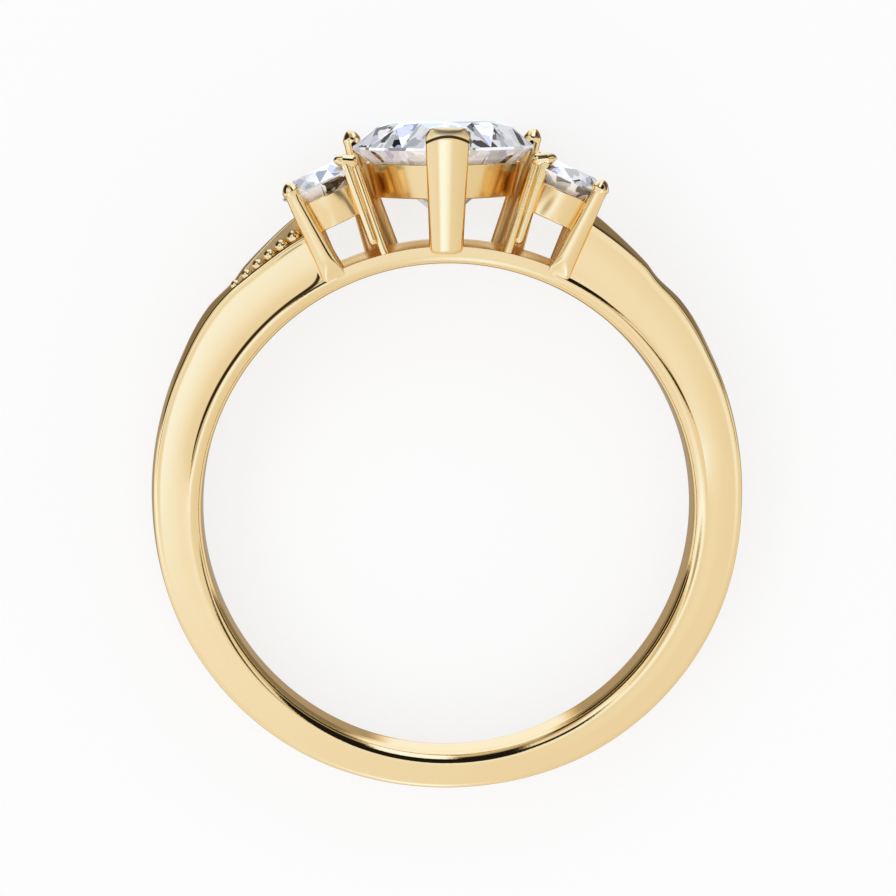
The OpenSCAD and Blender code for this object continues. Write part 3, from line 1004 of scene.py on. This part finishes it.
# Collars under the side stones
sideCollarSettings = {
    "top": -0.42,
    "height": 1.12,
    "radius": 1.36,
    "wall": 0.32,
    "draw": 0.12,
    "round": 0.06,
    "around": 96,
    "satin": 0.4,
    # painted shade: how much the deeper gold darkens the collars
    "recess": 0.1,
}


def sideCollarShell(side, cs, ss):
    foot = cs["top"] - cs["height"]
    r = cs["radius"]
    profile = roundCorners(np.array([
        [r - cs["draw"], foot],
        [r, cs["top"]],
        [r - cs["wall"], cs["top"]],
        [r - cs["draw"] - cs["wall"], foot],
    ]), cs["round"])
    t = np.linspace(0, 2 * np.pi, cs["around"], endpoint=False)[:, None]
    r, z = profile.T
    ring = np.stack([r * np.cos(t), r * np.sin(t), z * np.ones_like(t)], -1)
    return shell(onSide(ring, side, ss), closed=True)


makePiece("heart_collar", [collarShell(collarSettings, heartSettings)], gold, "gold_mount",
          shadeAndSatinAt=lambda points: (noCrease, collarSettings["satin"], 0))
makePiece("side_collars", [sideCollarShell(s, sideCollarSettings, sideSettings) for s in (-1, 1)],
          gold, "gold_mount",
          shadeAndSatinAt=lambda points: (noCrease, sideCollarSettings["satin"], sideCollarSettings["recess"]))

# Studio: a pale floor, soft lights, and a tent whose bright and dark parts only show in the polish and the
# stones
studioSettings = {
    "floorSize": 2.0,
    "floorColour": (0.26, 0.26, 0.26, 1.0),
    "floorGlow": 0.745,
    "floorRoughness": 0.9,
    "lampShare": 0.7,
    "lampDistance": 400.0,
    "room": (1.0, 1.0, 1.0, 1.0),
    "roomStrength": 0.42,
    # name, degrees to the right and up, width and height in degrees, brightness
    "lights": [
        ("front_light", 4, -12, 46, 34, 0.8),
        ("left_light", -40, 0, 34, 90, 1.15),
        ("right_light", 66, 0, 20, 90, 0.9),
        ("top_light", 0, 60, 60, 20, 1.7),
        ("low_light", 0, -50, 80, 40, 0.9),
    ],
}

# The tent is laid out flat as degrees to the right and up from the hole's axis, as far as its reach.
tentSettings = {
    "radius": 450.0,
    "reach": 180.0,
    "rings": 156,
    "around": 288,
    "level": 0.96,
    # glow in red, green and blue at each level
    "levels": (0.0, 0.4, 0.8, 1.0, 1.25),
    "tones": (
        (0.0, 0.40, 0.79, 0.95, 1.04),
        (0.0, 0.39, 0.79, 1.05, 1.37),
        (0.0, 0.39, 0.76, 1.32, 2.20),
    ),
    # past this many degrees off the axis, over this softness, the level falls to that of the room below
    "below": (125.0, 20.0, 0.42),
    # middle, half sizes, degrees turned, soft share, level
    "patches": {
        "low_right": (60, -40, 60, 50, 0, 0.9, 0.85),
        "left_wall": (-38, -1, 36, 14, 0, 0.5, 1.22),
        "left_grey": (-35, 1, 14, 5, 0, 0.8, 0.45),
        "left_shade": (-48, 19, 24, 7, -10, 0.8, 0.6),
        "left_streak": (-23, 27, 24, 5, -52, 0.6, 1.2),
        "top_brown": (-22, 66, 22, 14, 20, 0.8, 0.42),
        "right_brown": (46, 56, 30, 20, -40, 0.8, 0.4),
        "low_streak": (-3, -50, 7, 24, 0, 0.8, 1.3),
        "right_bar": (33, 10.5, 17, 4.2, 6, 0.5, 0.03),
        "right_bar_end": (57, 7.5, 16, 4.5, -20, 0.6, 0.1),
    },
    # softness in degrees of the wedges' inner edge
    "innerSoft": 3.0,
    # from and to in degrees round, from and to in degrees off the axis, softness round and outwards, level
    "wedges": {
        "dark_end": (100, 134, 12, 32, 14, 8, 0.03),
        "dark_card": (38, 108, 8, 64, 5, 10, 0.012),
        "strip_light": (67, 88, 48, 110, 5, 6, 1.4),
        "right_edge": (12, 64, 76, 166, 6, 8, 0.24),
        "left_edge": (116, 172, 82, 166, 6, 8, 0.25),
        "left_edge_line": (114, 172, 72, 120, 6, 3, 0.03),
        "right_edge_line": (12, 62, 72, 100, 6, 3, 0.06),
        "top_light": (62, 120, 94, 160, 12, 10, 1.15),
        "back_light": (50, 130, 158, 190, 12, 6, 1.2),
    },
}


def stageObject(name, points, faces, material):
    mesh = bpy.data.meshes.new(name)
    mesh.from_pydata(points, [], faces)
    mesh.materials.append(material)
    staged = bpy.data.objects.new(name, mesh)
    bpy.context.scene.collection.objects.link(staged)
    return staged


def makeFloor(ss):
    s = Shading("paleFloor")
    surface = s.node("ShaderNodeBsdfPrincipled", None, {
        "Base Color": ss["floorColour"],
        "Roughness": ss["floorRoughness"],
        "Emission Color": (1.0, 1.0, 1.0, 1.0),
        "Emission Strength": ss["floorGlow"],
    })
    h = ss["floorSize"]
    corners = [(-h, -h, 0), (h, -h, 0), (h, h, 0), (-h, h, 0)]
    return stageObject("floor", corners, [[0, 1, 2, 3]], s.finish(surface))


def lookedAt(right, up, distance):
    # a place seen from the ring's middle: degrees to the right and up from the hole's axis
    r, u = math.radians(right), math.radians(up)
    return distance * np.array([math.sin(r) * math.cos(u), math.sin(u), math.cos(r) * math.cos(u)])


def facingRing(right, up, distance):
    # middle, and the two directions across a flat thing that faces the ring
    middle = lookedAt(right, up, distance)
    away = middle / distance
    wide = np.cross([0.0, 1.0, 0.0], away)
    wide /= np.linalg.norm(wide)
    return middle, wide, np.cross(away, wide)


def softEdge(distance, softness):
    # 1 well inside an edge and 0 well outside it; distance is measured outwards
    return 1 - easeStep(distance, -softness / 2, softness / 2)


def tentGlow(x, y, ts):
    # the level at a place of the laid-out tent: each patch and wedge covers what comes before it
    start, soft, value = ts["below"]
    level = value + (ts["level"] - value) * softEdge(np.hypot(x, y) - start, soft)
    for middleX, middleY, halfX, halfY, turned, soft, value in ts["patches"].values():
        c, s = math.cos(math.radians(turned)), math.sin(math.radians(turned))
        along, up = (x - middleX) * c + (y - middleY) * s, (y - middleY) * c - (x - middleX) * s
        reach = np.sqrt((along / halfX) ** 2 + (up / halfY) ** 2)
        level += (value - level) * softEdge(reach - 1, 2 * soft)
    off, roundA = np.hypot(x, y), np.degrees(np.arctan2(y, x))
    for startA, endA, start, end, softA, soft, value in ts["wedges"].values():
        aside = softEdge(np.abs(roundA - (startA + endA) / 2) - (endA - startA) / 2, softA)
        inner = softEdge(start - off, ts["innerSoft"])
        level += (value - level) * aside * inner * softEdge(off - end, soft)
    return level


def makeTent(ts):
    # a ball round the ring, seen from inside, whose points glow as the laid-out tent does at their places
    off = np.linspace(0, ts["reach"], ts["rings"] + 1)[1:-1, None]
    roundA = np.linspace(0, 360, ts["around"], endpoint=False)[None]
    a, b = np.radians(off), np.radians(roundA)
    grid = np.stack([np.sin(a) * np.cos(b), np.sin(a) * np.sin(b), np.cos(a) * np.ones_like(b)], -1)
    points, quads, tris = shell(grid * ts["radius"])
    # the shell's last two points are its front and back poles
    flat = np.stack([off * np.cos(b), off * np.sin(b)], -1).reshape(-1, 2)
    flat = np.vstack([flat, [0, 0], [ts["reach"], 0]])
    s = Shading("tentCloth")
    glow = s.node("ShaderNodeAttribute", {"attribute_name": "glow"}, out="Color")
    surface = s.node("ShaderNodeBsdfPrincipled", None, {
        "Base Color": (0.0, 0.0, 0.0, 1.0),
        "Specular IOR Level": 0.0,
        "Emission Color": glow,
        "Emission Strength": 1.0,
    })
    tent = stageObject("tent", placed(points), quads.tolist() + tris.tolist(), s.finish(surface))
    level = tentGlow(flat[:, 0], flat[:, 1], ts)
    tones = [np.interp(level, ts["levels"], tone) for tone in ts["tones"]]
    colours = np.stack(tones + [np.ones_like(level)], -1).astype(np.float32)
    tent.data.attributes.new("glow", "FLOAT_COLOR", "POINT").data.foreach_set("color", colours.ravel())
    tent.visible_camera = tent.visible_shadow = tent.visible_diffuse = False


def softLight(ss, name, right, up, width, height, brightness):
    # rectangle that faces the ring; its power is pi times its brightness, its area and the lamps' share
    distance = ss["lampDistance"]
    middle, wide, tall = facingRing(right, up, distance)
    data = bpy.data.lights.new(name, "AREA")
    data.shape = "RECTANGLE"
    data.size, data.size_y = (2 * distance * mm * math.tan(math.radians(d / 2)) for d in (width, height))
    data.energy = brightness * math.pi * data.size * data.size_y * ss["lampShare"]
    light = bpy.data.objects.new(name, data)
    axes = np.array([wide, tall, middle / distance]) @ ringAxes
    matrix = Matrix(axes.T.tolist()).to_4x4()
    matrix.translation = placed(middle).tolist()
    light.matrix_world = matrix
    light.visible_camera = light.visible_glossy = light.visible_transmission = False
    bpy.context.scene.collection.objects.link(light)


makeFloor(studioSettings).visible_glossy = False
makeTent(tentSettings)
for name, *place in studioSettings["lights"]:
    softLight(studioSettings, name, *place)

world = bpy.data.worlds.new("room")
world.use_nodes = True
world.node_tree.nodes["Background"].inputs["Color"].default_value = studioSettings["room"]
world.node_tree.nodes["Background"].inputs["Strength"].default_value = studioSettings["roomStrength"]
bpy.context.scene.world = world
bpy.context.scene.view_settings.view_transform = "Standard"
print("studio lit")
